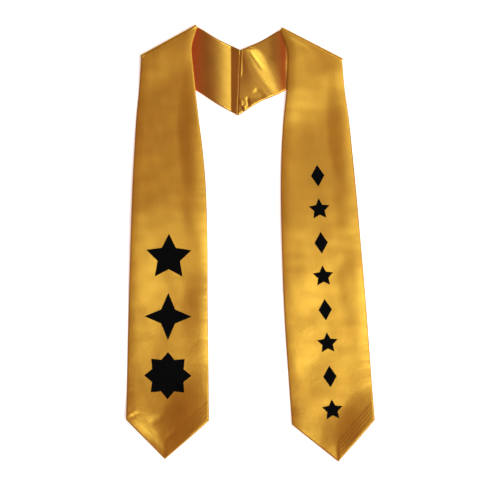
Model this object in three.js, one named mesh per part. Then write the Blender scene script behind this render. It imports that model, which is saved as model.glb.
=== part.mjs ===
// A satin graduation stole lying face up on a flat surface, in millimetres, +Z up.
// Each of its two halves runs from the centre back seam to a shoulder fold, rolls over it and comes
// back on top as a long front panel with a pointed end. Each half is a satin face and a satin
// lining, and flat applique ornaments lie on the front panels. Left and right are as seen from
// above, with the neck away from the viewer (+Y).
import * as THREE from "three";

const { degToRad, lerp, smoothstep } = THREE.MathUtils;

// Driving dimensions in plan
const FRONT_LENGTH = 574; // shoulder fold to the corners of the pointed end, down the middle line
const POINT_DEPTH = 60; // corners to tip
const END_WIDTH = 127; // across the two corners
const NECK_OPENING = 131; // between the inner ends of the two shoulder folds
const NECK_DIP = 37; // from those ends down to the top of the centre back seam
const SEAM_LENGTH = 99.5; // centre back seam
const SEAM_SLANT = 4; // how far the seam's top stands to the right of its foot
const SEAM_GAP = 0.3; // between the two halves at the seam

// Driving dimensions in height
const FACE_THICKNESS = 1;
const LINING_THICKNESS = 1;
const APPLIQUE_THICKNESS = 1;
const LAYER_GAP = 0.3; // between face and lining, and under an applique
const LINING_INSET = 1; // how far the lining stops short of the face's edge
const FOLD_AIR = 3; // between the two layers of lining in a shoulder fold
const REST_AIR = 1; // between the front panel and the back strip, clear of the fold
const SETTLE_RUN = 60; // distance from the fold over which the one becomes the other
const DRAPE_RUN = 75; // the front panel comes down off the back strip over this distance
const ROLL_HEIGHT = 6; // tallest roll of cloth on the back of the neck
const SWELL_HEIGHT = 10; // a front panel's tallest swell, at its lifted tip

// Appliques. Each column stands on its margin, measured from the corners of the pointed end.
const LARGE_HEIGHT = 72;
const LARGE_SPACE = 18;
const LARGE_MARGIN = 31;
const SMALL_HEIGHT = 33;
const SMALL_SPACE = 18;
const SMALL_MARGIN = 2;

// Fineness of the meshes
const BACK_ROWS = 25; // every fourth hundredth of a half's back, so that creases fall on a row
const PARALLEL_SHARE = 0.25; // share of the back whose rows run parallel to the seam
const ROLL_ROWS = 8;
const FRONT_ROWS = 30;
const COLUMNS = 8; // an even number, so that one column runs down the middle to the tip
const APPLIQUE_RINGS = 2;
const APPLIQUE_STEP = 16; // longest step along an applique's edge

const STRIP_THICKNESS = FACE_THICKNESS + LAYER_GAP + LINING_THICKNESS;
const FOLD_RADIUS = (FOLD_AIR + STRIP_THICKNESS) / 2; // to the middle of the strip
const HALF_END = END_WIDTH / 2;
const HALF_NECK = NECK_OPENING / 2;

// The two halves. Angles are in degrees: the shoulder fold falls by foldAngle, and the front panel
// leans outwards by lean. rise lifts the fold's inner end above the middle of the two. neckBow and
// hemBow are how far the back's neckline edge and outer edge bow towards the tips.
const SIDES = [
  { name: "left", mirror: -1, foldAngle: 28.9, lean: 0.5, rise: 2, neckBow: 2, hemBow: 1.5 },
  { name: "right", mirror: 1, foldAngle: 27.3, lean: 3.6, rise: -2, neckBow: 2, hemBow: -3 },
];

// The front panels' edges as they lie. along is a share of FRONT_LENGTH from the fold. The others
// are shares of END_WIDTH, from a panel's middle line to its neckline edge (Inner) and to its outer
// edge (Outer).
const PANEL_EDGES = [
  { along: -0.04, leftInner: 0.34, leftOuter: 0.315, rightInner: 0.361, rightOuter: 0.33 },
  { along: 0.01, leftInner: 0.278, leftOuter: 0.325, rightInner: 0.3, rightOuter: 0.34 },
  { along: 0.05, leftInner: 0.289, leftOuter: 0.33, rightInner: 0.31, rightOuter: 0.347 },
  { along: 0.12, leftInner: 0.325, leftOuter: 0.348, rightInner: 0.345, rightOuter: 0.356 },
  { along: 0.2, leftInner: 0.369, leftOuter: 0.379, rightInner: 0.404, rightOuter: 0.385 },
  { along: 0.28, leftInner: 0.418, leftOuter: 0.397, rightInner: 0.448, rightOuter: 0.4 },
  { along: 0.38, leftInner: 0.461, leftOuter: 0.417, rightInner: 0.484, rightOuter: 0.416 },
  { along: 0.52, leftInner: 0.485, leftOuter: 0.434, rightInner: 0.512, rightOuter: 0.432 },
  { along: 0.72, leftInner: 0.498, leftOuter: 0.453, rightInner: 0.534, rightOuter: 0.452 },
  { along: 1, leftInner: 0.526, leftOuter: 0.469, rightInner: 0.526, rightOuter: 0.466 },
];

// Rolls across the back of the neck. Each rises from its left foot to its crest and falls to its
// right foot. These lie at shares of the way from the seam to a fold's inner end, left negative, on
// the neckline edge (Top) and on the outer edge (Foot). height is a share of ROLL_HEIGHT. A
// hardness of 1 makes a crisp foot, and 2 a soft one.
const BACK_ROLLS = [
  {
    leftTop: -1, crestTop: -0.52, rightTop: -0.2, leftHardness: 2,
    leftFoot: -1, crestFoot: -0.52, rightFoot: -0.2, rightHardness: 1,
    height: 0.8,
  },
  {
    leftTop: -0.2, crestTop: 0, rightTop: 0.08, leftHardness: 1,
    leftFoot: -0.2, crestFoot: 0, rightFoot: 0.08, rightHardness: 1,
    height: 0.5,
  },
  {
    leftTop: 0, crestTop: 0.14, rightTop: 0.6, leftHardness: 1,
    leftFoot: 0.04, crestFoot: 0.76, rightFoot: 1, rightHardness: 2,
    height: 1,
  },
];

// Soft swells of the front panels, as ovals. along and reachAlong are shares of FRONT_LENGTH, from
// the fold. across and reachAcross are shares of HALF_END, to the right of the middle line. height
// is a share of SWELL_HEIGHT.
const FRONT_SWELLS = {
  left: [
    { along: 0.22, reachAlong: 0.2, across: 0.7, reachAcross: 0.5, height: 0.2 },
    { along: 0.69, reachAlong: 0.19, across: -0.8, reachAcross: 0.9, height: 0.24 },
    { along: 0.72, reachAlong: 0.13, across: 0.9, reachAcross: 0.6, height: 0.2 },
    { along: 1.04, reachAlong: 0.16, across: 0.9, reachAcross: 1.1, height: 1 },
    { along: 1.02, reachAlong: 0.1, across: -1, reachAcross: 0.8, height: 0.4 },
  ],
  right: [
    { along: 0.22, reachAlong: 0.2, across: 0.7, reachAcross: 0.5, height: 0.2 },
    { along: 0.7, reachAlong: 0.19, across: -0.9, reachAcross: 0.9, height: 0.24 },
    { along: 0.66, reachAlong: 0.14, across: 0.8, reachAcross: 0.6, height: 0.2 },
    { along: 1.05, reachAlong: 0.14, across: 0.9, reachAcross: 1, height: 1 },
    { along: 1.03, reachAlong: 0.09, across: -1, reachAcross: 0.7, height: 0.3 },
  ],
};

// Ornaments are stars with straight sides. waist is the inner corners' share of the outer radius.
const STAR = { points: 5, waist: 0.5 };
const SPARK = { points: 4, waist: 0.42 };
const ROSETTE = { points: 8, waist: 0.72 };
const LOZENGE = { points: 2, waist: 0.62 };
const APPLIQUES = {
  left: {
    height: LARGE_HEIGHT,
    space: LARGE_SPACE,
    margin: LARGE_MARGIN,
    shapes: [STAR, SPARK, ROSETTE],
  },
  right: {
    height: SMALL_HEIGHT,
    space: SMALL_SPACE,
    margin: SMALL_MARGIN,
    shapes: [LOZENGE, STAR, LOZENGE, STAR, LOZENGE, STAR, LOZENGE, STAR],
  },
};

const FACE_SATIN = new THREE.MeshStandardMaterial({ color: 0xc8902f, roughness: 0.38 });
const LINING_SATIN = new THREE.MeshStandardMaterial({ color: 0xb57f2a, roughness: 0.36 });
const BLACK_TWILL = new THREE.MeshStandardMaterial({ color: 0x0b0b0c, roughness: 0.8 });

// A smooth curve through one column of a table whose rows are in order of along.
function fromTable(table, column, along) {
  const last = table.length - 1;
  if (along <= table[0].along) return table[0][column];
  if (along >= table[last].along) return table[last][column];
  const slope = (i) => {
    const before = table[Math.max(i - 1, 0)];
    const after = table[Math.min(i + 1, last)];
    return (after[column] - before[column]) / (after.along - before.along);
  };
  const next = table.findIndex((row) => row.along > along);
  const from = table[next - 1];
  const to = table[next];
  const step = to.along - from.along;
  const t = (along - from.along) / step;
  const straight = lerp(from[column], to[column], t * t * (3 - 2 * t));
  const bend = (1 - t) * slope(next - 1) - t * slope(next);
  return straight + t * (1 - t) * step * bend;
}

// A hump that is 1 high at a share of 0 and ends at a share of 1.
function hump(share, hardness) {
  return Math.max(0, 1 - share * share) ** hardness;
}

// Height of the rolls at a share of the way from the seam to a fold's inner end, left negative.
// down goes from 0 at the neckline edge to 1 at the outer edge.
function backRelief(share, down) {
  let height = 0;
  for (const roll of BACK_ROLLS) {
    const crest = lerp(roll.crestTop, roll.crestFoot, down);
    const left = lerp(roll.leftTop, roll.leftFoot, down);
    const right = lerp(roll.rightTop, roll.rightFoot, down);
    const foot = share < crest ? left : right;
    const hardness = share < crest ? roll.leftHardness : roll.rightHardness;
    height += ROLL_HEIGHT * roll.height * hump((share - crest) / (foot - crest), hardness);
  }
  return height;
}

// Height of the swells of a front panel, at a distance from the fold and across to the right.
function frontRelief(swells, distance, across) {
  let height = 0;
  for (const swell of swells) {
    const down = (distance / FRONT_LENGTH - swell.along) / swell.reachAlong;
    const right = (across / HALF_END - swell.across) / swell.reachAcross;
    height += SWELL_HEIGHT * swell.height * hump(Math.hypot(down, right), 2);
  }
  return height;
}

// The middle surface of one half's strip. Its own plan has +X outwards from the seam and +Y to the
// neck, whichever half it is. v goes from -1 at the neckline edge to 1 at the outer edge.
class Half {
  constructor(side) {
    this.name = side.name;
    this.mirror = side.mirror;
    this.neckBow = side.neckBow;
    this.hemBow = side.hemBow;
    this.swells = FRONT_SWELLS[side.name];
    const fold = degToRad(side.foldAngle);
    const lean = degToRad(side.lean);
    this.beyondFold = new THREE.Vector2(Math.sin(fold), Math.cos(fold));
    this.down = new THREE.Vector2(Math.sin(lean), -Math.cos(lean));
    this.outwards = new THREE.Vector2(Math.cos(lean), Math.sin(lean));
    this.foldSkew = fold + lean;
    // The outside of the fold passes the end of the neck opening, and its axis lies inside that.
    const innerEnd = this.foldCrossing(-1);
    this.start = new THREE.Vector2(HALF_NECK, side.rise)
      .addScaledVector(this.beyondFold, -FOLD_RADIUS - STRIP_THICKNESS / 2)
      .addScaledVector(this.down, -innerEnd.distance)
      .addScaledVector(this.outwards, -innerEnd.across);
    this.backReach = this.foldPoint(-1).x;
    this.backCorner = this.foldPoint(1);
    this.backEdge = this.seamPoint(1).sub(this.backCorner).normalize();
  }

  // From the middle line to column v.
  acrossAt(v, distance) {
    const edge = this.name + (v < 0 ? "Inner" : "Outer");
    return v * END_WIDTH * fromTable(PANEL_EDGES, edge, distance / FRONT_LENGTH);
  }

  // Where column v meets the fold. A few rounds settle it, because the panel barely widens there.
  foldCrossing(v) {
    let distance = 0;
    for (let round = 0; round < 8; round++) {
      distance = this.acrossAt(v, distance) * Math.tan(this.foldSkew);
    }
    return { distance, across: this.acrossAt(v, distance) };
  }

  frontPlan(distance, across) {
    return this.start
      .clone()
      .addScaledVector(this.down, distance)
      .addScaledVector(this.outwards, across);
  }

  foldPoint(v) {
    const { distance, across } = this.foldCrossing(v);
    return this.frontPlan(distance, across);
  }

  seamPoint(v) {
    const down = (v + 1) / 2;
    const slant = this.mirror * SEAM_SLANT * (0.5 - down);
    return new THREE.Vector2(SEAM_GAP / 2 + slant, -NECK_DIP - SEAM_LENGTH * down);
  }

  // A front panel lies on the back strip next to the fold and comes down to the surface beyond it.
  frontPoint(distance, across) {
    const plan = this.frontPlan(distance, across);
    const fromFold = distance * Math.cos(this.foldSkew) - across * Math.sin(this.foldSkew);
    const air = lerp(FOLD_AIR, REST_AIR, smoothstep(fromFold, 0, SETTLE_RUN));
    const beyondStrip = this.backEdge.cross(plan.clone().sub(this.backCorner));
    const carried = 1 - smoothstep(beyondStrip, 0, DRAPE_RUN);
    const lift = (STRIP_THICKNESS + air) * carried;
    const swell = frontRelief(this.swells, distance, this.mirror * across);
    return new THREE.Vector3(plan.x, plan.y, STRIP_THICKNESS / 2 + lift + swell);
  }

  backPoint(share, v) {
    const seam = this.seamPoint(v);
    const fold = this.foldPoint(v);
    const parallel = lerp(seam.x, this.backReach, share);
    const skewed = lerp(seam.x, fold.x, share);
    const x = lerp(parallel, skewed, smoothstep(share, PARALLEL_SHARE, 1));
    const plan = seam.clone().lerp(fold, (x - seam.x) / (fold.x - seam.x));
    const fromSeam = (x - seam.x) / (this.backReach - seam.x);
    const down = (v + 1) / 2;
    const wave = (1 - Math.cos(2 * Math.PI * Math.min(fromSeam, 1))) / 2;
    plan.y -= wave * lerp(this.neckBow, this.hemBow, down);
    const relief = backRelief(this.mirror * fromSeam, down);
    return new THREE.Vector3(plan.x, plan.y, STRIP_THICKNESS / 2 + relief);
  }

  rollPoint(share, v) {
    const turn = Math.PI * share;
    const plan = this.foldPoint(v).addScaledVector(this.beyondFold, FOLD_RADIUS * Math.sin(turn));
    const height = STRIP_THICKNESS / 2 + FOLD_RADIUS * (1 - Math.cos(turn));
    return new THREE.Vector3(plan.x, plan.y, height);
  }

  // inset is how far the row at the pointed end stops short of it.
  panelPoint(share, v, inset) {
    const end = FRONT_LENGTH + POINT_DEPTH * (1 - Math.abs(v)) - inset;
    const distance = lerp(this.foldCrossing(v).distance, end, share);
    return this.frontPoint(distance, this.acrossAt(v, distance));
  }

  // Rows of points from the seam round the fold to the pointed end.
  rows(inset) {
    const columns = [];
    for (let column = 0; column <= COLUMNS; column++) {
      columns.push(((2 * column) / COLUMNS - 1) * (1 - inset / HALF_END));
    }
    const rows = [];
    for (let row = 0; row < BACK_ROWS; row++) {
      rows.push(columns.map((v) => this.backPoint(row / BACK_ROWS, v)));
    }
    for (let row = 0; row < ROLL_ROWS; row++) {
      rows.push(columns.map((v) => this.rollPoint(row / ROLL_ROWS, v)));
    }
    for (let row = 0; row <= FRONT_ROWS; row++) {
      rows.push(columns.map((v) => this.panelPoint(row / FRONT_ROWS, v, inset)));
    }
    return rows;
  }

  // The middle of the front panel, across, at a distance from the fold.
  centreAt(distance) {
    return (this.acrossAt(-1, distance) + this.acrossAt(1, distance)) / 2;
  }

  frontNormal(distance, across) {
    const down = this.frontPoint(distance + 1, across).sub(this.frontPoint(distance - 1, across));
    const over = this.frontPoint(distance, across + 1).sub(this.frontPoint(distance, across - 1));
    return down.cross(over).normalize();
  }
}

// A patch is points with normals, triangles that face along the normals, and its rim in the same
// turning sense. This thickens one into a closed body between two heights along the normals.
function slab(patch, low, high, mirror) {
  const { points, normals, triangles, rim } = patch;
  const positions = [];
  for (const height of [low, high]) {
    points.forEach((point, i) => {
      const moved = point.clone().addScaledVector(normals[i], height);
      positions.push(mirror * moved.x, moved.y, moved.z);
    });
  }
  const top = points.length;
  const faces = [];
  for (const [a, b, c] of triangles) {
    faces.push([a, c, b], [top + a, top + b, top + c]);
  }
  rim.forEach((a, i) => {
    const b = rim[(i + 1) % rim.length];
    faces.push([a, b, top + b], [a, top + b, top + a]);
  });
  const index = faces.flatMap(([a, b, c]) => (mirror < 0 ? [a, c, b] : [a, b, c]));
  const geometry = new THREE.BufferGeometry();
  geometry.setAttribute("position", new THREE.Float32BufferAttribute(positions, 3));
  geometry.setIndex(index);
  geometry.computeVertexNormals();
  return geometry;
}

// A patch from rows of points.
function sheetPatch(rows) {
  const lastRow = rows.length - 1;
  const lastColumn = rows[0].length - 1;
  const at = (row, column) => row * (lastColumn + 1) + column;
  const normals = [];
  const triangles = [];
  for (let row = 0; row <= lastRow; row++) {
    for (let column = 0; column <= lastColumn; column++) {
      const before = rows[Math.max(row - 1, 0)][column];
      const after = rows[Math.min(row + 1, lastRow)][column];
      const inner = rows[row][Math.max(column - 1, 0)];
      const outer = rows[row][Math.min(column + 1, lastColumn)];
      const normal = after.clone().sub(before).cross(outer.clone().sub(inner));
      // The edge at the seam stays upright, so that the two halves meet without crossing.
      if (row === 0) normal.setX(0);
      normals.push(normal.normalize());
      if (row === lastRow || column === lastColumn) continue;
      const near = at(row, column);
      const far = at(row + 1, column);
      triangles.push([near, far, far + 1], [near, far + 1, near + 1]);
    }
  }
  const rim = [];
  for (let row = 0; row < lastRow; row++) rim.push(at(row, 0));
  for (let column = 0; column < lastColumn; column++) rim.push(at(lastRow, column));
  for (let row = lastRow; row > 0; row--) rim.push(at(row, lastColumn));
  for (let column = lastColumn; column > 0; column--) rim.push(at(0, column));
  return { points: rows.flat(), normals, triangles, rim };
}

// A star's edge round its centre, as [down, across] pairs, in steps of APPLIQUE_STEP at most.
function starEdge({ points, waist }, radius) {
  const corner = (i) => {
    const angle = (Math.PI * i) / points;
    const reach = i % 2 ? radius * waist : radius;
    return new THREE.Vector2(-reach * Math.cos(angle), -reach * Math.sin(angle));
  };
  const edge = [];
  for (let i = 0; i < 2 * points; i++) {
    const from = corner(i);
    const to = corner(i + 1);
    const steps = Math.ceil(from.distanceTo(to) / APPLIQUE_STEP);
    for (let step = 0; step < steps; step++) edge.push(from.clone().lerp(to, step / steps));
  }
  return edge;
}

// A patch on a front panel: rings of a star's edge round its centre.
function starPatch(half, star, radius, distance) {
  const edge = starEdge(star, radius);
  const centre = half.centreAt(distance);
  const places = [[distance, centre]];
  for (let ring = 1; ring <= APPLIQUE_RINGS; ring++) {
    const share = ring / APPLIQUE_RINGS;
    for (const { x, y } of edge) places.push([distance + share * x, centre + share * y]);
  }
  const triangles = [];
  edge.forEach((_, i) => {
    const next = (i + 1) % edge.length;
    triangles.push([0, 1 + i, 1 + next]);
    for (let ring = 1; ring < APPLIQUE_RINGS; ring++) {
      const near = 1 + (ring - 1) * edge.length;
      const far = near + edge.length;
      triangles.push([near + i, far + i, far + next], [near + i, far + next, near + next]);
    }
  });
  return {
    points: places.map((place) => half.frontPoint(...place)),
    normals: places.map((place) => half.frontNormal(...place)),
    triangles,
    rim: edge.map((_, i) => 1 + (APPLIQUE_RINGS - 1) * edge.length + i),
  };
}

function namedMesh(name, geometry, material) {
  const mesh = new THREE.Mesh(geometry, material);
  mesh.name = name;
  return mesh;
}

// The face is on the normals' side of the strip: on top in front and underneath at the back.
function halfStole(side) {
  const half = new Half(side);
  const outside = STRIP_THICKNESS / 2;
  const group = new THREE.Group();
  const face = sheetPatch(half.rows(0));
  const faceBody = slab(face, outside - FACE_THICKNESS, outside, side.mirror);
  const lining = sheetPatch(half.rows(LINING_INSET));
  const liningBody = slab(lining, -outside, -outside + LINING_THICKNESS, side.mirror);
  group.add(namedMesh(`${side.name}_face`, faceBody, FACE_SATIN));
  group.add(namedMesh(`${side.name}_lining`, liningBody, LINING_SATIN));

  const { height, space, margin, shapes } = APPLIQUES[side.name];
  const seat = outside + LAYER_GAP;
  shapes.forEach((star, i) => {
    const fromLast = (shapes.length - 1 - i) * (height + space);
    const distance = FRONT_LENGTH - margin - height / 2 - fromLast;
    const patch = starPatch(half, star, height / 2, distance);
    const body = slab(patch, seat, seat + APPLIQUE_THICKNESS, side.mirror);
    group.add(namedMesh(`${side.name}_applique_${i + 1}`, body, BLACK_TWILL));
  });
  return group;
}

const stole = new THREE.Group();
const laid = new THREE.Group();
laid.add(...SIDES.map(halfStole));
stole.add(laid);

// The part's origin is under the middle of the stole, on the surface that it lies on.
const middle = new THREE.Box3().setFromObject(stole).getCenter(new THREE.Vector3());
laid.position.set(-middle.x, -middle.y, 0);

export default stole;
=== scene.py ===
import math

import bpy
import numpy as np
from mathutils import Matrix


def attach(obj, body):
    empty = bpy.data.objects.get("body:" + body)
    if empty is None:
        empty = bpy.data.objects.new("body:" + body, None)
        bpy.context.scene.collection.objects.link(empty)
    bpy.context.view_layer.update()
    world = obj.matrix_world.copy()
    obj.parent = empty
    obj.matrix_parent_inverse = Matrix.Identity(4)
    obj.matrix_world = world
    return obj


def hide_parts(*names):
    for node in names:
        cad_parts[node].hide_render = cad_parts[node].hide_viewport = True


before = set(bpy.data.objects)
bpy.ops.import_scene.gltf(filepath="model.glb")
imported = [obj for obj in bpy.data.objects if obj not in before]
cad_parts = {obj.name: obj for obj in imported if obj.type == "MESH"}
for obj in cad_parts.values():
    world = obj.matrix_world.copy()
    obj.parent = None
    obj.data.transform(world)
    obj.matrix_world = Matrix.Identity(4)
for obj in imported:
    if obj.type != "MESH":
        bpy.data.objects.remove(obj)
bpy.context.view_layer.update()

# A gold satin graduation stole, lying face up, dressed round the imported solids. The shape's own
# numbers are those of the CAD part, in millimetres. What Blender gets is in metres.
MM = 0.001

# Driving dimensions in plan
FRONT_LENGTH = 574.0
POINT_DEPTH = 60.0
END_WIDTH = 127.0
NECK_OPENING = 131.0
NECK_DIP = 37.0
SEAM_LENGTH = 99.5
SEAM_SLANT = 4.0
SEAM_GAP = 0.02  # sewn shut here
HALF_END = END_WIDTH / 2

# Driving dimensions in height
STRIP_THICKNESS = 2.3
FOLD_AIR = 3.0
REST_AIR = 1.0
SETTLE_RUN = 60.0
DRAPE_RUN = 75.0
SWELL_HEIGHT = 10.0
FOLD_RADIUS = (FOLD_AIR + STRIP_THICKNESS) / 2
HALF_THICKNESS = STRIP_THICKNESS / 2

# Appliques
LARGE_HEIGHT = 72.0
LARGE_SPACE = 18.0
LARGE_MARGIN = 31.0
SMALL_HEIGHT = 33.0
SMALL_SPACE = 18.0
SMALL_MARGIN = 2.0

# Rows and columns of the CAD part's meshes, which settle where its origin is
CAD_BACK_ROWS = 25
CAD_ROLL_ROWS = 8
CAD_FRONT_ROWS = 30
CAD_COLUMNS = 8
PARALLEL_SHARE = 0.25

SIDES = [
    {"name": "left", "mirror": -1, "fold_angle": 28.9, "lean": 0.5, "rise": 2.0,
     "neck_bow": 2.0, "hem_bow": 1.5, "neck_lift": 1.0},
    {"name": "right", "mirror": 1, "fold_angle": 27.3, "lean": 3.6, "rise": -2.0,
     "neck_bow": 2.0, "hem_bow": -3.0, "neck_lift": 1.9},
]

# Shares of FRONT_LENGTH from the fold, and there the shares of END_WIDTH from a panel's middle line
# to its neckline edge (inner) and to its outer edge.
PANEL_ALONG = np.array([-0.04, 0.01, 0.05, 0.12, 0.2, 0.28, 0.38, 0.52, 0.72, 1])
PANEL_EDGES = {
    "left_inner": np.array([0.34, 0.278, 0.289, 0.325, 0.369, 0.418, 0.461, 0.485, 0.498, 0.526]),
    "left_outer": np.array([0.315, 0.325, 0.33, 0.348, 0.379, 0.397, 0.417, 0.434, 0.453, 0.469]),
    "right_inner": np.array([0.361, 0.3, 0.31, 0.345, 0.404, 0.448, 0.484, 0.512, 0.534, 0.526]),
    "right_outer": np.array([0.33, 0.34, 0.347, 0.356, 0.385, 0.4, 0.416, 0.432, 0.452, 0.466]),
}

# Soft swells of the front panels: along, reach along, across, reach across, height.
FRONT_SWELLS = {
    "left": [
        (0.22, 0.2, 0.7, 0.5, 0.2), (0.69, 0.19, -0.8, 0.9, 0.24), (0.72, 0.13, 0.9, 0.6, 0.2),
        (1.04, 0.16, 0.9, 1.1, 1), (1.02, 0.1, -1, 0.8, 0.4),
    ],
    "right": [
        (0.22, 0.2, 0.7, 0.5, 0.2), (0.7, 0.19, -0.9, 0.9, 0.24), (0.66, 0.14, 0.8, 0.6, 0.2),
        (1.05, 0.14, 0.9, 1, 1), (1.03, 0.09, -1, 0.7, 0.3),
    ],
}

# Ornaments: points and waist of a straight-sided star.
STAR = (5, 0.5)
SPARK = (4, 0.42)
ROSETTE = (8, 0.72)
LOZENGE = (2, 0.62)
APPLIQUES = {
    "left": (LARGE_HEIGHT, LARGE_SPACE, LARGE_MARGIN, [STAR, SPARK, ROSETTE]),
    "right": (SMALL_HEIGHT, SMALL_SPACE, SMALL_MARGIN, [LOZENGE, STAR] * 4),
}

# The finished cloth
LAYER = 0.4  # thickness of one layer of satin
THINNEST = 0.03  # half of what is left of the strip at a turned edge
TURN = 2.2  # how far from a turned edge the strip reaches its full thickness
HEM_TURN = 1.5  # the same at the hems of the pointed ends
SEAM_TURN = TURN / 1.4  # the same at the centre back seam

# How finely the cloth is divided. The steps lie beside an edge, in millimetres from it.
EDGE_STEPS = [0.0, 0.12, 0.4, 0.9, 1.6, 2.6, 4.0, 5.6, 7.4, 9.4, 11.6]
HEM_STEPS = EDGE_STEPS[:6] + [3.7 + 1.1 * k for k in range(20)]
SEAM_STEPS = [0, 0.12, 0.4, 0.9, 1.6, 2.4]
AFTER_SEAM_STEPS = 3.4
FACE_COLUMNS = 40
BACK_ROWS = 60
ROLL_ROWS = 14
FRONT_ROWS = 240
BACK_LENGTH = 66.0
FAR = 1000.0  # further than anything on the strip
SEED = 20


def lerp(a, b, t):
    return a + (b - a) * t


def smoothstep(x, low, high):
    t = np.clip((x - low) / (high - low), 0, 1)
    return t * t * (3 - 2 * t)


def edge_share(column, along):
    """A smooth curve through one column of the table of panel edges."""
    value = PANEL_EDGES[column]
    last = len(PANEL_ALONG) - 1
    before = np.maximum(np.arange(last + 1) - 1, 0)
    after = np.minimum(np.arange(last + 1) + 1, last)
    slope = (value[after] - value[before]) / (PANEL_ALONG[after] - PANEL_ALONG[before])
    along = np.clip(along, PANEL_ALONG[0], PANEL_ALONG[-1])
    i = np.clip(np.searchsorted(PANEL_ALONG, along, side="right") - 1, 0, last - 1)
    step = PANEL_ALONG[i + 1] - PANEL_ALONG[i]
    t = (along - PANEL_ALONG[i]) / step
    straight = lerp(value[i], value[i + 1], t * t * (3 - 2 * t))
    bend = (1 - t) * slope[i] - t * slope[i + 1]
    return straight + t * (1 - t) * step * bend


def hump(share, hardness=2):
    return np.maximum(0, 1 - share * share) ** hardness


def front_relief(swells, distance, across):
    height = 0
    for along, reach_along, side, reach_across, size in swells:
        down = (distance / FRONT_LENGTH - along) / reach_along
        right = (across / HALF_END - side) / reach_across
        height = height + SWELL_HEIGHT * size * hump(np.hypot(down, right))
    return height


class Half:
    """The middle surface of one half's strip, as in the CAD part."""

    def __init__(self, side):
        self.side = side
        self.name = side["name"]
        self.mirror = side["mirror"]
        self.swells = FRONT_SWELLS[self.name]
        fold = math.radians(side["fold_angle"])
        lean = math.radians(side["lean"])
        self.beyond = np.array([math.sin(fold), math.cos(fold)])
        self.down = np.array([math.sin(lean), -math.cos(lean)])
        self.outwards = np.array([math.cos(lean), math.sin(lean)])
        self.skew = fold + lean
        distance, across = self.fold_crossing(np.array(-1.0))
        self.start = (
            np.array([NECK_OPENING / 2, side["rise"]])
            - self.beyond * (FOLD_RADIUS + HALF_THICKNESS)
            - self.down * distance
            - self.outwards * across
        )
        self.back_reach = self.fold_point(np.array(-1.0))[0]
        self.back_corner = self.fold_point(np.array(1.0))
        edge = self.seam_point(np.array(1.0)) - self.back_corner
        self.back_edge = edge / np.linalg.norm(edge)

    def edge_at(self, v, distance):
        along = distance / FRONT_LENGTH
        inner = edge_share(self.name + "_inner", along)
        outer = edge_share(self.name + "_outer", along)
        return END_WIDTH * np.where(v < 0, inner, outer)

    def across_at(self, v, distance):
        return v * self.edge_at(v, distance)

    def fold_crossing(self, v):
        distance = np.zeros_like(v)
        for _ in range(8):
            distance = self.across_at(v, distance) * math.tan(self.skew)
        return distance, self.across_at(v, distance)

    def front_plan(self, distance, across):
        distance = np.asarray(distance)[..., None]
        across = np.asarray(across)[..., None]
        return self.start + self.down * distance + self.outwards * across

    def fold_point(self, v):
        return self.front_plan(*self.fold_crossing(v))

    def seam_point(self, v):
        down = (v + 1) / 2
        slant = self.mirror * SEAM_SLANT * (0.5 - down)
        return np.stack([SEAM_GAP / 2 + slant, -NECK_DIP - SEAM_LENGTH * down], axis=-1)

    def front_point(self, distance, across):
        plan = self.front_plan(distance, across)
        from_fold = distance * math.cos(self.skew) - across * math.sin(self.skew)
        air = lerp(FOLD_AIR, REST_AIR, smoothstep(from_fold, 0, SETTLE_RUN))
        gap = plan - self.back_corner
        beyond_strip = self.back_edge[0] * gap[..., 1] - self.back_edge[1] * gap[..., 0]
        carried = 1 - smoothstep(beyond_strip, 0, DRAPE_RUN)
        lift = (STRIP_THICKNESS + air) * carried
        swell = front_relief(self.swells, distance, self.mirror * across)
        height = HALF_THICKNESS + lift + swell
        return np.concatenate([plan, height[..., None]], axis=-1)

    def back_point(self, share, v):
        seam = self.seam_point(v)
        fold = self.fold_point(v)
        parallel = lerp(seam[..., 0], self.back_reach, share)
        skewed = lerp(seam[..., 0], fold[..., 0], share)
        x = lerp(parallel, skewed, smoothstep(share, PARALLEL_SHARE, 1))
        t = (x - seam[..., 0]) / (fold[..., 0] - seam[..., 0])
        plan = lerp(seam, fold, t[..., None])
        from_seam = (x - seam[..., 0]) / (self.back_reach - seam[..., 0])
        down = (v + 1) / 2
        wave = (1 - np.cos(2 * math.pi * np.minimum(from_seam, 1))) / 2
        bow = lerp(self.side["neck_bow"], self.side["hem_bow"], down)
        height = np.full_like(wave, HALF_THICKNESS)
        return np.stack([plan[..., 0], plan[..., 1] - wave * bow, height], axis=-1)

    def roll_point(self, share, v):
        turn = math.pi * share
        plan = self.fold_point(v) + self.beyond * (FOLD_RADIUS * np.sin(turn))[..., None]
        height = HALF_THICKNESS + FOLD_RADIUS * (1 - np.cos(turn))
        return np.concatenate([plan, height[..., None]], axis=-1)

    def panel_end(self, v):
        return FRONT_LENGTH + POINT_DEPTH * (1 - np.abs(v))

    def centre_at(self, distance):
        inner = self.across_at(np.array(-1.0), distance)
        return (inner + self.across_at(np.array(1.0), distance)) / 2


HALVES = {side["name"]: Half(side) for side in SIDES}


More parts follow.
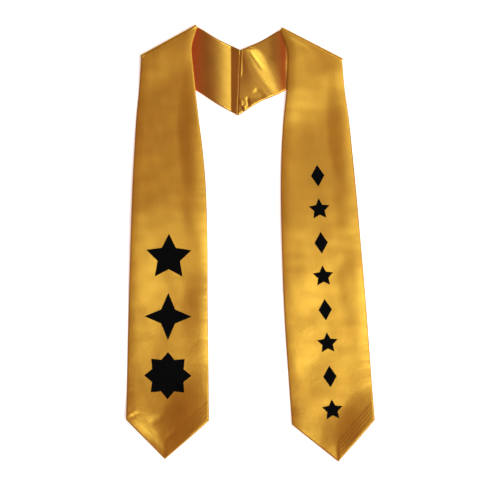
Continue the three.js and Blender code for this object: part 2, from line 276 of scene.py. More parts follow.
def cad_middle():
    """The middle in plan of the CAD part's outer faces, which is where its origin is."""
    low, high = np.full(2, np.inf), np.full(2, -np.inf)
    v = np.linspace(-1, 1, CAD_COLUMNS + 1)
    for half in HALVES.values():
        rows = [half.back_point(np.full_like(v, k / CAD_BACK_ROWS), v) for k in range(CAD_BACK_ROWS)]
        rows += [half.roll_point(np.full_like(v, k / CAD_ROLL_ROWS), v) for k in range(CAD_ROLL_ROWS)]
        for k in range(CAD_FRONT_ROWS + 1):
            start = half.fold_crossing(v)[0]
            distance = lerp(start, half.panel_end(v), k / CAD_FRONT_ROWS)
            rows.append(half.front_point(distance, half.across_at(v, distance)))
        points = np.array(rows)
        outside = points + HALF_THICKNESS * grid_normals(points)
        plan = outside[..., :2].reshape(-1, 2) * [half.mirror, 1]
        low = np.minimum(low, plan.min(0))
        high = np.maximum(high, plan.max(0))
    return (low + high) / 2


def grid_normals(points):
    """Unit normals of a grid of points, upwards where the rows run away from the fold in front."""
    rows, columns = points.shape[:2]
    r, c = np.arange(rows), np.arange(columns)
    down = points[np.minimum(r + 1, rows - 1)] - points[np.maximum(r - 1, 0)]
    over = points[:, np.minimum(c + 1, columns - 1)] - points[:, np.maximum(c - 1, 0)]
    normals = np.cross(down, over)
    normals[0, :, 0] = 0
    return normals / np.linalg.norm(normals, axis=-1, keepdims=True)


ORIGIN = cad_middle()


def in_part(points, mirror):
    """From a half's own plan to the part's, in millimetres."""
    return points * [mirror, 1, 1] - [ORIGIN[0], ORIGIN[1], 0]


# Places read in the photograph are in its pixels. The neckline's middle ties them to the part's plan.
PIXEL = 1.5213  # millimetres
NECK_PIXEL = (239, 25.8)
NECK_PLAN = (-17.36, 330.33)
PHOTO_X = NECK_PIXEL[0] - NECK_PLAN[0] / PIXEL
PHOTO_Y = NECK_PIXEL[1] + NECK_PLAN[1] / PIXEL


def photo(px, py):
    """The part's plan, in millimetres, from a place in the photograph."""
    return ((px - PHOTO_X) * PIXEL, (PHOTO_Y - py) * PIXEL)


# Unevenness of cloth that lies: how many waves, their lengths, and how often a wave is longer than
# high.
random = np.random.default_rng(SEED)
WAVE_COUNT = 22
WAVE_LENGTHS = np.geomspace(17, 90, WAVE_COUNT)
WAVE_FLATNESS = 900
WAVES = [
    (wavelength, angle, phase)
    for wavelength, angle, phase in zip(
        WAVE_LENGTHS,
        random.uniform(0, math.pi, WAVE_COUNT),
        random.uniform(0, 2 * math.pi, WAVE_COUNT),
    )
]

# Short puckers along the side seams: place along, height and length.
PUCKER_COUNT = 30
PUCKER_START = 60
PUCKER_WIDTH = 2.4
PUCKERS = {
    side["name"]: [
        (place, random.uniform(-0.22, 0.12), random.uniform(5, 15))
        for place in np.cumsum(random.uniform(7, 34, PUCKER_COUNT)) + PUCKER_START
    ]
    for side in SIDES
}


def unevenness(x, y):
    """Soft unevenness of cloth that lies, a few tenths of a millimetre high."""
    height = 0
    for wavelength, angle, phase in WAVES:
        along = x * math.cos(angle) + y * math.sin(angle)
        height = height + wavelength * np.sin(2 * math.pi * along / wavelength + phase)
    return height / WAVE_FLATNESS


def crease(x, y, start, end, width, height, edge=1.0):
    """A straight crease from start to end. edge is how much narrower its right side is."""
    run = np.subtract(end, start)
    length = math.hypot(*run)
    along = ((x - start[0]) * run[0] + (y - start[1]) * run[1]) / length**2
    off = ((x - start[0]) * run[1] - (y - start[1]) * run[0]) / length
    reach = np.where(off > 0, width * edge, width)
    ends = smoothstep(along, -0.12, 0.2) * (1 - smoothstep(along, 0.8, 1.12))
    return height * ends * np.exp(-((off / reach) ** 2))


def ramp_up(run, slope, ease):
    """A slope that eases in over its first stretch."""
    run = np.maximum(run, 0)
    return np.where(run < ease, slope * run * run / (2 * ease), slope * (run - ease / 2))


def fall(share, peak):
    """A drop from 0 to 1, steepest at the share peak."""
    share = np.clip(share, 0, 1)
    early = share * share / np.maximum(peak, 0.01)
    late = 1 - (1 - share) ** 2 / np.maximum(1 - peak, 0.01)
    return np.where(share < peak, early, late)


def eased(x, start, end):
    """How far x is beyond the middle of start and end, with the slope eased in between them."""
    share = np.clip((x - start) / (end - start), 0, 1)
    return (end - start) * share * share / 2 + np.maximum(x - end, 0)


# The back of the neck, lining upwards. Places are in pixels of the photograph, heights in
# millimetres, and slopes are heights over lengths.
BACK_TOP, BACK_RUN = 48, 42
LEFT_ROLL = 4.2  # height at its crest
LEFT_ROLL_DROP = 2.9  # from the crest to the groove beside the seam
LEFT_ROLL_SLOPE, LEFT_ROLL_EASE = 0.11, 12.0
LEFT_FLAT_SLOPE = 0.02
GROOVE_START = 231.2
GROOVE_SLOPE = 0.1
RIDGE_FOOT = 0.3
RIDGE_SLOPE = 0.15
RIGHT_SLOPE = 0.1
LAST_SLOPE, LAST_START, LAST_FULL = 0.05, 278, 284
RIGHT_TURN = 267


def left_roll(px, down):
    """A roll that rises slowly from the left and drops steeply to the groove beside the seam."""
    crest = 213.0 + 2.0 * down
    height = LEFT_ROLL - ramp_up((crest - px) * PIXEL, LEFT_ROLL_SLOPE, LEFT_ROLL_EASE)
    height = np.maximum(height, 0) + LEFT_FLAT_SLOPE * np.minimum(height, 0)
    height = height - LEFT_ROLL_DROP * fall((px - crest) / (GROOVE_START - crest), 0.97)
    return height + GROOVE_SLOPE * np.clip((px - GROOVE_START) * PIXEL, 0, None)


def right_ridge(px, down, seam):
    """A ridge that slants down to the right, which a bright slope runs along, and a last rise."""
    at_seam = LEFT_ROLL - LEFT_ROLL_DROP + GROOVE_SLOPE * (seam - GROOVE_START) * PIXEL
    near = 245.5 + 21.5 * down**1.5
    far = 252.5 + 27.5 * np.sqrt(down)
    turn = np.maximum(far, RIGHT_TURN)
    width = (far + 0.5 - near) * PIXEL
    crest = RIDGE_FOOT + RIDGE_SLOPE * width
    rise = smoothstep((px - seam) / (near - 3 - seam), -0.35, 1.0)
    drop = RIDGE_SLOPE * PIXEL * (eased(px, near - 3, near + 4) - eased(px, far - 4, far + 5))
    last = RIGHT_SLOPE * eased(px, turn + 1, turn + 7) + LAST_SLOPE * eased(px, LAST_START, LAST_FULL)
    return lerp(at_seam, crest, rise) - drop + PIXEL * last


def back_rolls(x, y):
    px = x / PIXEL + PHOTO_X
    down = np.clip((PHOTO_Y - y / PIXEL - BACK_TOP) / BACK_RUN, 0, 1.2)
    seam = 240.2 - 2.2 * down
    return np.where(px < seam, left_roll(px, down), right_ridge(px, down, seam))


# Fine creases: start, end, width, height, and how much narrower the right side is.
BACK_CREASES = [
    (photo(241.4, 49), photo(240.8, 76), 1.5, 0.8, 1.3),
    (photo(250, 52), photo(263, 70), 1.8, 0.35, 1.0),
    (photo(239.5, 101), photo(243, 105), 2.2, 0.9, 1.0),
    (photo(243, 106), photo(246, 111), 2.2, 0.9, 1.0),
    (photo(247, 98), photo(249, 107), 2.4, -0.8, 1.0),
    (photo(255, 90), photo(264, 98), 4.0, -0.5, 1.0),
]
FRONT_CREASES = [
    (photo(129, 415), photo(138, 409), 2.2, 0.7, 1.0),
    (photo(129, 418), photo(138, 413), 2.0, -0.6, 1.0),
    (photo(133, 414), photo(156, 434), 2.4, 0.5, 1.0),
    (photo(150, 424), photo(162, 417), 6.0, -0.6, 1.0),
    (photo(168, 437), photo(177, 431), 4.0, -0.5, 1.0),
]
# Broad low swells across each panel: place down the photograph, reach above it and below, height.
BROAD_SWELLS = {
    "left": [(202, 140, 78, 5.2), (318, 45, 45, -1.2), (430, 62, 50, 3.4)],
    "right": [(224, 120, 92, 3.7), (440, 70, 60, 2.8)],
}
# Swells elsewhere on the panels: place, reach across and along, height.
PANEL_SWELLS = [
    (photo(118, 258), 75, 90, 2.2),
    (photo(204, 430), 110, 110, 3.5),
    (photo(375, 435), 63, 80, -1.8),
    (photo(350, 464), 90, 90, 5.2),
    (photo(282, 424), 60, 60, -1.2),
    (photo(288, 328), 70, 80, -0.6),
    (photo(368, 314), 60, 90, -0.7),
]
# Shares of the unevenness at the back, and on the panels above and below a stretch in pixels
BACK_UNEVENNESS = 0.4
UPPER_UNEVENNESS, LOWER_UNEVENNESS = 0.7, 0.8
UNEVENNESS_CHANGE = (200, 260)


def back_dressing(x, y):
    creases = sum(crease(x, y, *row) for row in BACK_CREASES)
    return back_rolls(x, y) + creases + BACK_UNEVENNESS * unevenness(x, y)


def front_dressing(x, y):
    height = sum(crease(x, y, *row) for row in FRONT_CREASES)
    py = PHOTO_Y - y / PIXEL
    for side, here in (("left", x < 0), ("right", x > 0)):
        for middle, above, below, size in BROAD_SWELLS[side]:
            reach = np.where(py < middle, above, below)
            height = height + size * hump((py - middle) / reach) * here
    for place, reach_x, reach_y, size in PANEL_SWELLS:
        height = height + size * hump(np.hypot((x - place[0]) / reach_x, (y - place[1]) / reach_y))
    share = lerp(UPPER_UNEVENNESS, LOWER_UNEVENNESS, smoothstep(py, *UNEVENNESS_CHANGE))
    return height + unevenness(x, y) * share


NECK_LIFT_REACH = 46  # across the panel
NECK_LIFT_START = (-30, 10)  # from the fold
NECK_LIFT_END = (55, 120)


def neck_lift(half, distance, across):
    """How far a panel's neckline edge stands up beside the back of the neck."""
    from_side = across + half.edge_at(np.array(-1.0), distance)
    near = 1 - smoothstep(from_side, 0, NECK_LIFT_REACH)
    start = smoothstep(distance, *NECK_LIFT_START)
    return half.side["neck_lift"] * near * start * (1 - smoothstep(distance, *NECK_LIFT_END))


def front_surface(half, distance, across):
    points = in_part(half.front_point(distance, across), half.mirror)
    points[..., 2] += front_dressing(points[..., 0], points[..., 1])
    points[..., 2] += neck_lift(half, distance, across)
    return points


# Where the dressing of the back fades out under the panels, and that of both at the fold
UNDER_PANEL = (7, 19)
BACK_FADE = 0.08
FRONT_FADE = 0.02


def back_rows(half, v):
    """Rows of points from the centre back seam to the fold, and how far each is from the seam."""
    seam_shares = np.array(SEAM_STEPS) / BACK_LENGTH
    rest = np.linspace(AFTER_SEAM_STEPS / BACK_LENGTH, 1, BACK_ROWS + 1)[:-1]
    rows, from_seam = [], []
    for share in np.concatenate([seam_shares, rest]):
        points = in_part(half.back_point(np.full_like(v, share), v), half.mirror)
        relief = back_dressing(points[:, 0], points[:, 1])
        past = half.mirror * (points[:, 0] + ORIGIN[0]) - half.back_reach
        in_sight = 1 - smoothstep(past, *UNDER_PANEL)
        points[:, 2] += relief * in_sight * smoothstep(1 - share, 0, BACK_FADE)
        rows.append(points)
        from_seam.append(np.full_like(v, share * BACK_LENGTH))
    return rows, from_seam


def roll_rows(half, v):
    """Rows of points round the shoulder fold."""
    shares = [np.full_like(v, k / ROLL_ROWS) for k in range(ROLL_ROWS)]
    return [in_part(half.roll_point(share, v), half.mirror) for share in shares]


def front_rows(half, v, slant):
    """Rows of points from the fold to the pointed end, and how far each is from the fold."""
    start, end = half.fold_crossing(v)[0], half.panel_end(v)
    tail = np.array(HEM_STEPS[::-1]) / slant
    rows, distances = [], []
    for share in np.linspace(0, 1, FRONT_ROWS)[:-1]:
        distance = lerp(start, end - tail[0], share)
        points = front_surface(half, distance, half.across_at(v, distance))
        flat = in_part(half.front_point(distance, half.across_at(v, distance)), half.mirror)
        rows.append(lerp(flat, points, smoothstep(share, 0, FRONT_FADE)))
        distances.append(distance)
    for step in tail:
        rows.append(front_surface(half, end - step, half.across_at(v, end - step)))
        distances.append(end - step)
    return rows, distances


def strip(half):
    """The whole strip's middle surface, with where each point lies on the cloth."""
    inner = [1 - step / HALF_END for step in EDGE_STEPS]
    middle = np.linspace(-inner[-1], inner[-1], FACE_COLUMNS + 1)[1:-1]
    v = np.array([-t for t in inner] + list(middle) + inner[::-1])
    start, end = half.fold_crossing(v)[0], half.panel_end(v)
    slant = math.cos(math.atan2(POINT_DEPTH, HALF_END))
    back, from_seam = back_rows(half, v)
    front, distances = front_rows(half, v, slant)
    points = np.array(back + roll_rows(half, v) + front)
    turn = len(back) + ROLL_ROWS
    from_seam = np.array(from_seam + [np.full_like(v, FAR)] * (len(points) - len(back)))
    distances = np.array([np.full_like(v, -FAR)] * turn + distances)
    steps = np.linalg.norm(np.diff(points[: turn + 1], axis=0), axis=-1)
    before = np.cumsum(steps[::-1], axis=0)[::-1]
    on_front = np.maximum(distances, start)
    in_front = np.zeros(points.shape[:2], dtype=bool)
    in_front[turn:] = True
    return {
        "points": points,
        "along": np.concatenate([start - before, distances[turn:]]),
        "across": half.across_at(v, on_front),
        "from_side": (1 - np.abs(v)) * np.abs(half.edge_at(v, on_front)),
        "from_seam": from_seam,
        "from_end": np.where(in_front, (end - distances) * slant, FAR),
        "in_front": in_front,
        "is_right": np.broadcast_to(v * half.mirror > 0, points.shape[:2]),
    }


def mesh_piece(name, vertices, faces, uvs, material):
    """A smooth mesh object in metres, with a UV map in metres over the cloth."""
    mesh = bpy.data.meshes.new(name)
    mesh.from_pydata([tuple(p) for p in vertices * MM], [], faces)
    mesh.materials.append(material)
    layer = mesh.uv_layers.new(name="Cloth")
    corners = np.empty(len(mesh.loops), dtype=np.int32)
    mesh.loops.foreach_get("vertex_index", corners)
    layer.data.foreach_set("uv", (uvs[corners] * MM).astype(np.float32).ravel())
    mesh.shade_smooth()
    mesh.update()
    piece = bpy.data.objects.new(name, mesh)
    bpy.context.scene.collection.objects.link(piece)
    return piece


def grid_body(outside, inside, uvs):
    """A closed body between two grids of points."""
    rows, columns = outside.shape[:2]
    size = rows * columns
    index = np.arange(size).reshape(rows, columns)
    a, b = index[:-1, :-1].ravel(), index[1:, :-1].ravel()
    c, d = index[1:, 1:].ravel(), index[:-1, 1:].ravel()
    top = np.stack([a, b, c, d], axis=1)
    bottom = np.stack([d, c, b, a], axis=1) + size
    rim = np.concatenate([index[:-1, 0], index[-1, :-1], index[:0:-1, -1], index[0, :0:-1]])
    after = np.roll(rim, -1)
    wall = np.stack([after, rim, rim + size, after + size], axis=1)
    faces = np.concatenate([top, bottom, wall])
    vertices = np.concatenate([outside.reshape(-1, 3), inside.reshape(-1, 3)])
    return vertices, faces, np.concatenate([uvs.reshape(-1, 2)] * 2)


def edge_profile(cloth, side):
    """The share of its full thickness that the strip has beside its edges. The face's right edges
    are rounder than the others, and the hems of the pointed ends are flat slopes."""
    side_share = np.clip(cloth["from_side"] / TURN, 0, 1)
    seam_share = np.clip(cloth["from_seam"] / SEAM_TURN, 0, 1)
    round_edge = np.sqrt(1 - (1 - side_share) ** 2)
    soft_edge = side_share * (2 - side_share)
    profile = np.where(cloth["is_right"] & (side > 0), round_edge, soft_edge)
    profile = np.minimum(profile, np.sqrt(1 - (1 - seam_share) ** 2))
    return np.minimum(profile, np.clip(cloth["from_end"] / HEM_TURN, 0, 1))


def layer_piece(half, cloth, side, name, material):
    """One layer of a strip: the face is on the normals' side (side 1), the lining on the other."""
    points = cloth["points"]
    normals = grid_normals(points * [half.mirror, 1, 1]) * [half.mirror, 1, 1]
    full = np.full(cloth["along"].shape, HALF_THICKNESS)
    if side > 0:
        loft = face_loft(half, cloth["along"], cloth["from_side"], cloth["from_end"], cloth["is_right"])
        full = full + np.where(cloth["in_front"], loft, 0)
    outer = np.maximum(full * edge_profile(cloth, side), THINNEST)
    inner = np.maximum(outer - LAYER, THINNEST / 3)
    outside = points + normals * (side * outer)[..., None]
    inside = points + normals * (side * inner)[..., None]
    outside[..., 2] = np.maximum(outside[..., 2], 0)
    inside[..., 2] = np.maximum(inside[..., 2], THINNEST / 3)
    uvs = np.stack([cloth["across"], cloth["along"]], axis=-1)
    vertices, faces, uvs = grid_body(outside, inside, uvs)
    if half.mirror * side < 0:
        faces = faces[:, ::-1]
    return mesh_piece(name, vertices, faces.tolist(), uvs, material)


# Relief of a front panel's face, in millimetres. Stretches along it count from the fold.
LEFT_EDGE_FALL, LEFT_EDGE_REACH = 0.75, 15
ALLOWANCE = 14  # width of the seam's allowance inside the right edge
ALLOWANCE_RUN = 24  # from there back to the panel's own height
RIGHT_EDGE_FALL = 0.85
ALLOWANCE_START, ALLOWANCE_CHANGE, ALLOWANCE_END = (60, 200), (220, 320), (510, 548)
LOWER_ALLOWANCE = 0.3
HEM_FALL, HEM_FALL_REACH = 0.4, 7
HEM_BEAD, HEM_BEAD_PLACE, HEM_BEAD_WIDTH = 0.35, 9, 5
HEM_RISE, HEM_RISE_REACH = 1.5, 24
STITCH_HEIGHT, STITCH_SPACE, STITCH_REACH = 0.08, 4.6, 23
LOWEST_LOFT = -0.9


def face_loft(half, along, from_side, from_end, is_right):
    """How much more than half the strip's thickness a front panel's face stands over its middle.
    Its left edge falls away softly. Its right edge has a low ridge where the seam's allowance lies
    inside, and short puckers. The right hems turn up and have fine lines along them."""
    left = -LEFT_EDGE_FALL * np.maximum(1 - from_side / LEFT_EDGE_REACH, 0) ** 2
    height = smoothstep(along, *ALLOWANCE_START)
    height = height * lerp(1, LOWER_ALLOWANCE, smoothstep(along, *ALLOWANCE_CHANGE))
    inwards = np.clip((from_side - ALLOWANCE) / ALLOWANCE_RUN, 0, 1)
    ridge = (1 - inwards) ** 2 * (1 + 2 * inwards)
    edge_fall = np.maximum(1 - from_side / ALLOWANCE, 0) ** 2
    right = (height * ridge - RIGHT_EDGE_FALL * edge_fall) * (1 - smoothstep(along, *ALLOWANCE_END))
    left_hem = -HEM_FALL * np.maximum(1 - from_end / HEM_FALL_REACH, 0) ** 2
    if half.name == "left":
        left_hem = left_hem + HEM_BEAD * np.exp(-(((from_end - HEM_BEAD_PLACE) / HEM_BEAD_WIDTH) ** 2))
    stitches = STITCH_HEIGHT * np.sin(from_end * 2 * math.pi / STITCH_SPACE) * (from_end < STITCH_REACH)
    right_hem = HEM_RISE * np.maximum(1 - from_end / HEM_RISE_REACH, 0) + stitches
    loft = np.where(is_right, right, left) + np.where(is_right, right_hem, left_hem)
    puckers = 0
    for place, size, length in PUCKERS[half.name]:
        beside = np.exp(-(((along - place) / PUCKER_WIDTH) ** 2))
        puckers = puckers + size * beside * np.exp(-((from_side / length) ** 2))
    return np.maximum(loft + puckers, LOWEST_LOFT)


def set_socket(made, name, value):
    made.inputs[name].default_value = value


def add(tree, kind, inputs, **settings):
    """A new node with its settings, and its inputs' values or links by name or number."""
    made = tree.nodes.new(kind)
    for key, value in settings.items():
        setattr(made, key, value)
    for key, value in inputs.items():
        if isinstance(value, bpy.types.NodeSocket):
            tree.links.new(value, made.inputs[key])
        else:
            set_socket(made, key, value)
    return made


def noise(tree, vector, scale, detail, roughness=0.5):
    inputs = {"Vector": vector, "Scale": scale, "Detail": detail, "Roughness": roughness}
    return add(tree, "ShaderNodeTexNoise", inputs).outputs["Fac"]


def stretched(tree, vector, scale):
    return add(tree, "ShaderNodeMapping", {"Vector": vector, "Scale": scale}).outputs["Vector"]


def ranged(tree, value, low, high, from_low=0.0, from_high=1.0, **settings):
    inputs = {"Value": value, "From Min": from_low, "From Max": from_high, "To Min": low, "To Max": high}
    return add(tree, "ShaderNodeMapRange", inputs, **settings).outputs["Result"]


def two_tone(tree, value, dark, light, low=0.0, high=1.0):
    ramp = add(tree, "ShaderNodeValToRGB", {"Fac": value})
    for stop, position, colour in zip(ramp.color_ramp.elements, (low, high), (dark, light)):
        stop.position = position
        stop.color = (*colour, 1)
    return ramp.outputs["Color"]


def relief(tree, height, strength, distance, under=None):
    inputs = {"Height": height, "Strength": strength, "Distance": distance}
    if under is not None:
        inputs["Normal"] = under
    return add(tree, "ShaderNodeBump", inputs).outputs["Normal"]


# Satin. Scales are per metre, of the cloth across and along, or of the part.
SATIN_IOR = 4.5
SATIN_SHINE = (1.0, 0.69, 0.095, 1)
SATIN_SPREAD = 0.35
STREAKS = (900, 26, 1)
FLOATS = (2600, 320, 1)
MOTTLE = 26.0
STREAK_SHARE, MOTTLE_SHARE = 0.45, 0.55
DEEP_AT, BASE_AT = 0.36, 0.64
ROUGHNESS_SWING = 0.05
THREAD_RELIEF = 0.00003
CRUMPLE, CRUMPLE_RELIEF = 170.0, 0.0003
CRUMPLE_UPPER, CRUMPLE_LOWER = 0.12, 0.75
CRUMPLE_FROM, CRUMPLE_TO = 0.03, -0.18  # along Y

# Painted shade: where the lining's gold is painted red beside the folds, standing in for light bounced
# between the folded layers and the shadow of the panels' edges; along X, in millimetres.
PAINTED_FOLD_SHADE_ZONES = [(photo(208, 0)[0], photo(194, 0)[0]), (photo(273, 0)[0], photo(285, 0)[0])]


# Paints shade into the base colour: mixes in red where the lining lies beside the folds.
def paint_fold_shade(tree, colour, place, fold_shade_red):
    across = add(tree, "ShaderNodeSeparateXYZ", {"Vector": place}).outputs["X"]
    zones = [
        ranged(tree, across, 0, 1, clear * MM, full * MM, interpolation_type="SMOOTHSTEP")
        for clear, full in PAINTED_FOLD_SHADE_ZONES
    ]
    fold_shade_mask = add(tree, "ShaderNodeMath", {0: zones[0], 1: zones[1]}, operation="MAXIMUM").outputs[0]
    inputs = {"Factor": fold_shade_mask, 6: colour, 7: (*fold_shade_red, 1)}
    return add(tree, "ShaderNodeMix", inputs, data_type="RGBA").outputs[2]


def satin(name, base, deep, roughness, fold_shade_red=None):
    """Satin: orange-gold threads with a yellow shine that spreads across them."""
    material = bpy.data.materials.new(name)
    material.use_nodes = True
    tree = material.node_tree
    shader = tree.nodes["Principled BSDF"]
    set_socket(shader, "IOR", SATIN_IOR)
    set_socket(shader, "Specular Tint", SATIN_SHINE)
    set_socket(shader, "Anisotropic", SATIN_SPREAD)
    link = tree.links.new
    tangent = add(tree, "ShaderNodeTangent", {}, direction_type="UV_MAP", uv_map="Cloth")
    link(tangent.outputs["Tangent"], shader.inputs["Tangent"])

    cloth = add(tree, "ShaderNodeUVMap", {}, uv_map="Cloth").outputs["UV"]
    place = add(tree, "ShaderNodeTexCoord", {}).outputs["Object"]
    streaks = noise(tree, stretched(tree, cloth, STREAKS), 1.0, 2.0)
    mottle = noise(tree, place, MOTTLE, 3.0)
    mottle = add(tree, "ShaderNodeMath", {0: mottle, 1: MOTTLE_SHARE}, operation="MULTIPLY").outputs[0]
    inputs = {0: streaks, 1: STREAK_SHARE, 2: mottle}
    tone = add(tree, "ShaderNodeMath", inputs, operation="MULTIPLY_ADD").outputs[0]
    colour = two_tone(tree, tone, deep, base, DEEP_AT, BASE_AT)
    # Painted shade: the lining's colour turns red beside the folds.
    if fold_shade_red:
        colour = paint_fold_shade(tree, colour, place, fold_shade_red)
    link(colour, shader.inputs["Base Color"])
    gloss = ranged(tree, tone, roughness - ROUGHNESS_SWING, roughness + ROUGHNESS_SWING)
    link(gloss, shader.inputs["Roughness"])

    floats = noise(tree, stretched(tree, cloth, FLOATS), 1.0, 1.0)
    crumple = noise(tree, place, CRUMPLE, 5.0, 0.65)
    down = add(tree, "ShaderNodeSeparateXYZ", {"Vector": place}).outputs["Y"]
    crumpled = ranged(tree, down, CRUMPLE_UPPER, CRUMPLE_LOWER, CRUMPLE_FROM, CRUMPLE_TO)
    normal = relief(tree, floats, 0.4, THREAD_RELIEF)
    normal = relief(tree, streaks, 0.3, THREAD_RELIEF, normal)
    normal = relief(tree, crumple, crumpled, CRUMPLE_RELIEF, normal)
    link(normal, shader.inputs["Normal"])
    return material


RIB_TURN = math.radians(58)
RIBS, FUZZ = 420.0, 900.0
RIB_RELIEF = 0.0001


def twill(name):
    """Matt black twill: fine ribs that run aslant."""
    material = bpy.data.materials.new(name)
    material.use_nodes = True
    tree = material.node_tree
    shader = tree.nodes["Principled BSDF"]
    set_socket(shader, "Specular IOR Level", 0.06)
    link = tree.links.new
    place = add(tree, "ShaderNodeTexCoord", {}).outputs["Object"]
    turned = add(tree, "ShaderNodeMapping", {"Vector": place, "Rotation": (0, 0, RIB_TURN)})
    inputs = {"Vector": turned.outputs["Vector"], "Scale": RIBS, "Distortion": 0.6, "Detail": 1.0}
    ribs = add(tree, "ShaderNodeTexWave", inputs).outputs["Fac"]
    fuzz = noise(tree, place, FUZZ, 2.0)
    link(two_tone(tree, ribs, (0.0008, 0.0008, 0.001), (0.003, 0.003, 0.0036)), shader.inputs["Base Color"])
    link(ranged(tree, fuzz, 0.72, 0.95), shader.inputs["Roughness"])
    link(relief(tree, ribs, 0.6, RIB_RELIEF), shader.inputs["Normal"])
    return material


def star_edge(star, radius, spacing):
    """A star's edge round its centre, as [down, across] pairs, closely spaced."""
    points, waist = star
    corners = []
    for i in range(2 * points):
        angle = math.pi * i / points
        reach = radius * (waist if i % 2 else 1)
        corners.append((-reach * math.cos(angle), -reach * math.sin(angle)))
    edge = []
    for i, start in enumerate(corners):
        end = corners[(i + 1) % len(corners)]
        steps = max(1, math.ceil(math.dist(start, end) / spacing))
        edge += [
            (lerp(start[0], end[0], k / steps), lerp(start[1], end[1], k / steps))
            for k in range(steps)
        ]
    return np.array(edge)


# An ornament's rings, from the rim inwards: share of the edge's reach, and height over the panel.
EDGE_SPACING = 1.6
PATCH_HEIGHT, PATCH_BOTTOM = 0.5, 0.1
PATCH_BORDER = [(1.0, PATCH_BOTTOM), (1.0, 0.5), (0.99, 0.72), (0.97, 0.8), (0.945, 0.74), (0.93, 0.55)]
PATCH_INSIDE = [(share, PATCH_HEIGHT) for share in np.linspace(0.9, 0.06, 22)]


def ornament(half, number, star, radius, distance, material):
    """A patch of twill that follows the panel, with a raised stitched border."""
    edge = star_edge(star, radius, EDGE_SPACING)
    centre = half.centre_at(np.array(distance))
    rings, heights = zip(*(PATCH_BORDER + PATCH_INSIDE))
    vertices, uvs = [], []
    for ring, height in zip(rings, heights):
        places = edge * ring
        vertices.append(on_panel(half, distance + places[:, 0], centre + places[:, 1], height))
        uvs.append(places[:, ::-1])
    for height in (PATCH_HEIGHT, PATCH_BOTTOM):
        vertices.append(on_panel(half, np.array([distance]), np.array([centre]), height))
        uvs.append(np.zeros((1, 2)))
    count = len(edge)
    last = len(rings) - 1
    top, bottom = (last + 1) * count, (last + 1) * count + 1
    faces = []
    for i in range(count):
        after = (i + 1) % count
        for ring in range(last):
            near, far = ring * count, (ring + 1) * count
            faces.append((near + i, near + after, far + after, far + i))
        faces.append((last * count + i, last * count + after, top))
        faces.append((after, i, bottom))
    if half.mirror < 0:
        faces = [face[::-1] for face in faces]
    name = f"{half.name}_ornament_{number}"
    piece = mesh_piece(name, np.concatenate(vertices), faces, np.concatenate(uvs), material)
    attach(piece, "root")
    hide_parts(f"{half.name}_applique_{number}")


def on_panel(half, distance, across, height):
    """Points at a height over a front panel's face."""
    step = 0.5
    down = front_surface(half, distance + step, across) - front_surface(half, distance - step, across)
    over = front_surface(half, distance, across + step) - front_surface(half, distance, across - step)
    normal = np.cross(down, over) * half.mirror
    normal /= np.linalg.norm(normal, axis=-1, keepdims=True)
    v = np.sign(across)
    edge = half.edge_at(v, distance)
    from_side = edge - np.abs(across)
    slant = math.cos(math.atan2(POINT_DEPTH, HALF_END))
    from_end = (half.panel_end(across / edge) - distance) * slant
    loft = face_loft(half, distance, from_side, from_end, v * half.mirror > 0)
    raised = (HALF_THICKNESS + loft + height)[..., None]
    return front_surface(half, distance, across) + normal * raised


FACE_SATIN = satin("face_satin", (0.58, 0.125, 0.009), (0.45, 0.093, 0.007), 0.38)
# The lining's red beside the folds is painted shade.
LINING_SATIN = satin("lining_satin", (0.5, 0.1, 0.018), (0.4, 0.08, 0.014), 0.3, fold_shade_red=(0.66, 0.05, 0.016))
BLACK_TWILL = twill("black_twill")

for half in HALVES.values():
    cloth = strip(half)
    for layer, side, material in (("face", 1, FACE_SATIN), ("lining", -1, LINING_SATIN)):
        piece = layer_piece(half, cloth, side, f"{half.name}_satin_{layer}", material)
        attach(piece, "root")
        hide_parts(f"{half.name}_{layer}")
    height, space, margin, stars = APPLIQUES[half.name]
    for i, star in enumerate(stars):
        from_last = (len(stars) - 1 - i) * (height + space)
        distance = FRONT_LENGTH - margin - height / 2 - from_last
        ornament(half, i + 1, star, height / 2, distance, BLACK_TWILL)

# Camera straight above, as the photograph was taken
LENS, SENSOR = 150.0, 36.0
VIEW_WIDTH = 500 * PIXEL * MM
VIEW_MIDDLE = (-0.0006, 0.0014)
VIEW_LEVEL = 0.003  # where the picture is as wide as VIEW_WIDTH
camera_data = bpy.data.cameras.new("camera")
camera_data.lens = LENS
camera_data.sensor_width = SENSOR
camera = bpy.data.objects.new("camera", camera_data)
camera.location = (*VIEW_MIDDLE, VIEW_WIDTH * LENS / SENSOR + VIEW_LEVEL)
bpy.context.scene.collection.objects.link(camera)
bpy.context.scene.camera = camera

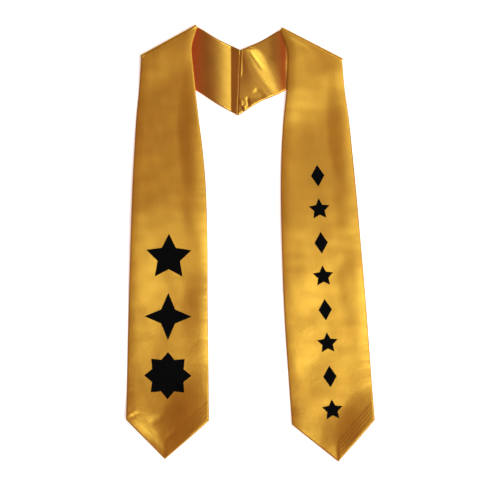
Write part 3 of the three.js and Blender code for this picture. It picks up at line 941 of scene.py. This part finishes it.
# Floor of white paper
FLOOR_HALF = 4.0
FLOOR_DROP = 0.0003
paper = bpy.data.materials.new("floor_paper")
paper.use_nodes = True
paper_shader = paper.node_tree.nodes["Principled BSDF"]
set_socket(paper_shader, "Base Color", (0.93, 0.93, 0.93, 1))
set_socket(paper_shader, "Roughness", 0.9)
set_socket(paper_shader, "Specular IOR Level", 0.1)
set_socket(paper_shader, "Emission Color", (1, 1, 1, 1))
set_socket(paper_shader, "Emission Strength", 0.5)
floor_mesh = bpy.data.meshes.new("floor")
corners = [(x * FLOOR_HALF, y * FLOOR_HALF, 0) for x, y in ((-1, -1), (1, -1), (1, 1), (-1, 1))]
floor_mesh.from_pydata(corners, [], [(0, 1, 2, 3)])
floor_mesh.materials.append(paper)
floor = bpy.data.objects.new("floor", floor_mesh)
floor.location.z = -FLOOR_DROP
bpy.context.scene.collection.objects.link(floor)


def softbox(name, place, along_x, along_y, power):
    """A rectangular lamp that shines straight down."""
    data = bpy.data.lights.new(name, "AREA")
    data.shape = "RECTANGLE"
    data.size = along_x
    data.size_y = along_y
    data.energy = power
    light = bpy.data.objects.new(name, data)
    light.location = place
    bpy.context.scene.collection.objects.link(light)


def studio_world(level, overhead, overhead_from):
    """Plain white surroundings, with level at the horizon and less of it overhead."""
    world = bpy.data.worlds.new("studio")
    world.use_nodes = True
    sky = world.node_tree
    place = add(sky, "ShaderNodeTexCoord", {}).outputs["Generated"]
    upwards = add(sky, "ShaderNodeSeparateXYZ", {"Vector": place}).outputs["Z"]
    background = sky.nodes["Background"]
    set_socket(background, "Color", (1, 1, 1, 1))
    sky.links.new(ranged(sky, upwards, level, overhead, 0.0, overhead_from), background.inputs["Strength"])
    return world


softbox("front_softbox", (2.0, -2.0, 4.5), 3.3, 3.4, 194)
softbox("back_softbox", (2.6, 2.2, 4.5), 2.7, 2.4, 97)
bpy.context.scene.world = studio_world(level=0.2, overhead=0.05, overhead_from=0.8)
bpy.context.scene.view_settings.view_transform = "Standard"
